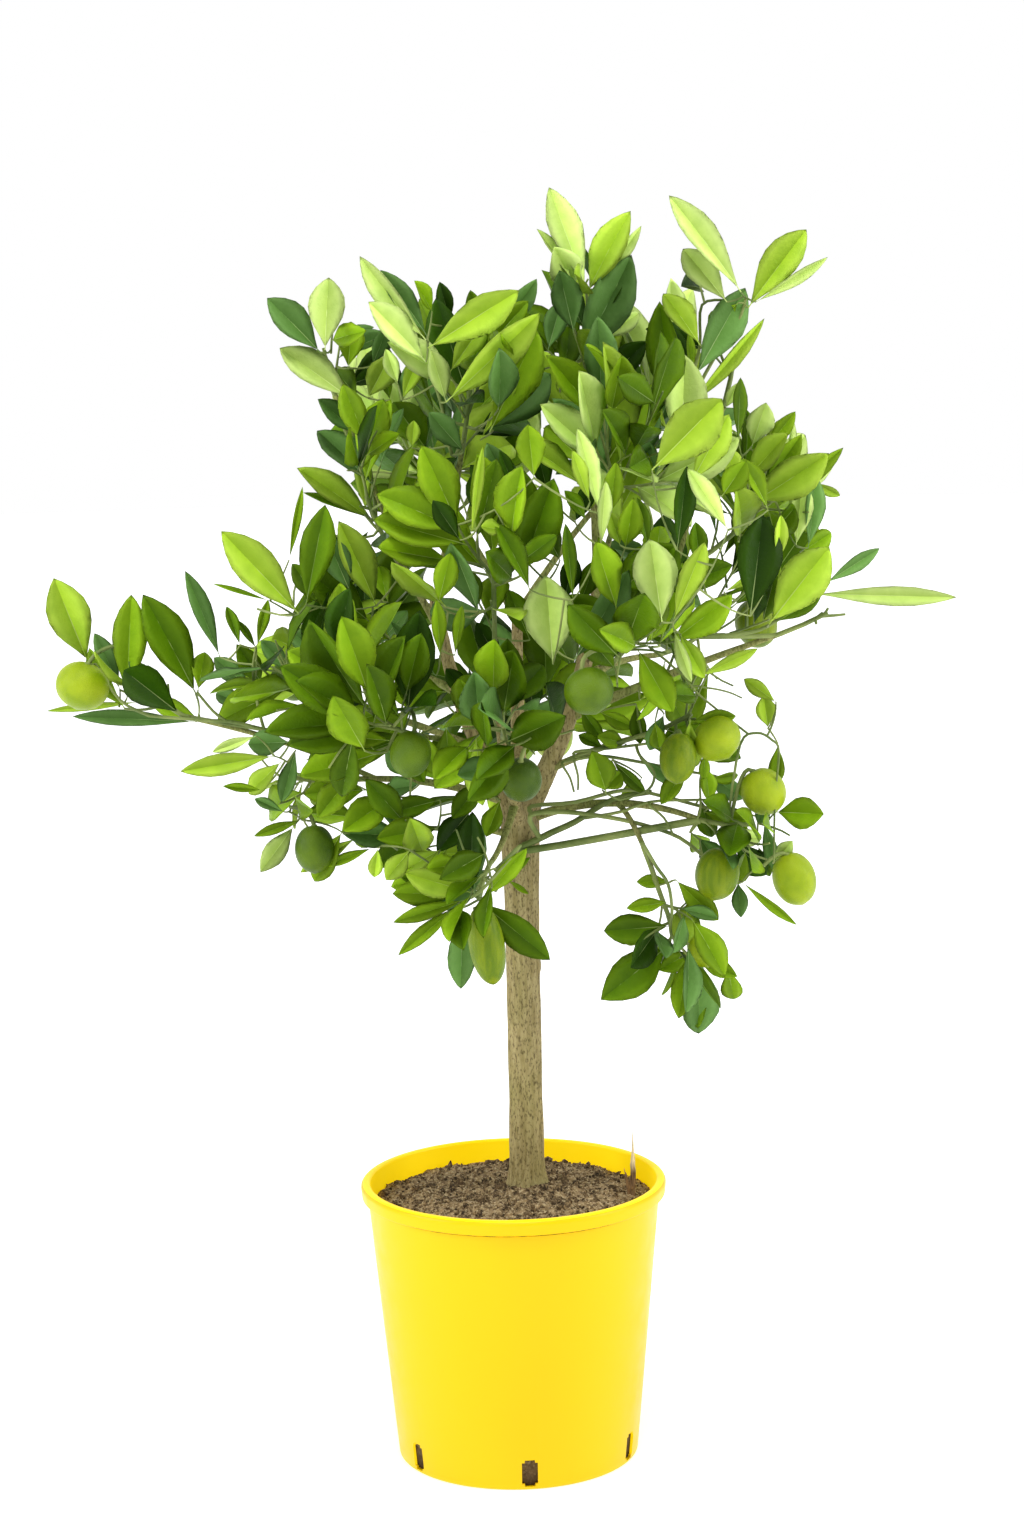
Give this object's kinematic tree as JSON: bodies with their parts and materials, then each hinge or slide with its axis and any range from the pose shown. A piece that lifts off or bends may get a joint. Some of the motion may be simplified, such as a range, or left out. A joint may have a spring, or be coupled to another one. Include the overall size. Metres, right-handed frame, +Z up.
{
  "type": "potted limequat tree",
  "caption": "Young limequat tree on a straight stem, with an open leafy crown and small green fruit, in a round tapered plastic nursery pot of soil.",
  "frame": {"origin": "centre of the pot's flat underside, on the ground", "axes": "+Z up along the pot's axis; -Y is the front; +X is to the right seen from the front"},
  "size_m": [0.688, 0.4417, 0.99],
  "materials": {
    "yellow_plastic": "satin moulded plastic",
    "potting_soil": "crumbly, matt",
    "dry_wood": "dry split wood",
    "trunk_bark": "finely streaked bark",
    "limb_bark": "smooth young bark",
    "leaves_low": "leaf, satin",
    "leaves_mid": "leaf, satin",
    "leaves_high": "leaf, satin"
  },
  "bodies": {
    "root": {"pot": "yellow_plastic", "soil": "potting_soil", "dry_stub": "dry_wood", "trunk": "trunk_bark", "leader_right": "limb_bark", "leader_left": "limb_bark", "leader_back": "limb_bark", "leader_front": "limb_bark", "bough_far_left": "limb_bark", "bough_left": "limb_bark", "bough_left_low": "limb_bark", "bough_low_left": "limb_bark", "bough_low_front": "limb_bark", "bough_front_left": "limb_bark", "bough_top_left": "limb_bark", "bough_left_high": "limb_bark", "bough_top_mid": "limb_bark", "bough_top": "limb_bark", "bough_top_right": "limb_bark", "bough_high_mid": "limb_bark", "bough_right_high": "limb_bark", "bough_right": "limb_bark", "bough_front_mid": "limb_bark", "bough_front_right": "limb_bark", "bough_front_low": "limb_bark", "bough_right_mid": "limb_bark", "bough_right_low": "limb_bark", "bough_hanging": "limb_bark", "bough_back_left": "limb_bark", "bough_back_low": "limb_bark", "bough_back_top_left": "limb_bark", "bough_back_top_right": "limb_bark", "bough_back_right": "limb_bark", "far_left": "leaves_high", "left": "leaves_mid", "left_low": "leaves_low", "low_left": "leaves_low", "low_front": "leaves_low", "front_left": "leaves_mid", "top_left": "leaves_high", "left_high": "leaves_mid", "top_mid": "leaves_high", "top": "leaves_high", "top_right": "leaves_high", "high_mid": "leaves_high", "right_high": "leaves_high", "right": "leaves_high", "front_mid": "leaves_mid", "front_right": "leaves_mid", "front_low": "leaves_low", "right_mid": "leaves_mid", "right_low": "leaves_low", "hanging": "leaves_low", "back_left": "leaves_mid", "back_low": "leaves_low", "back_top_left": "leaves_mid", "back_top_right": "leaves_mid", "back_right": "leaves_mid"}
  },
  "joints": []
}
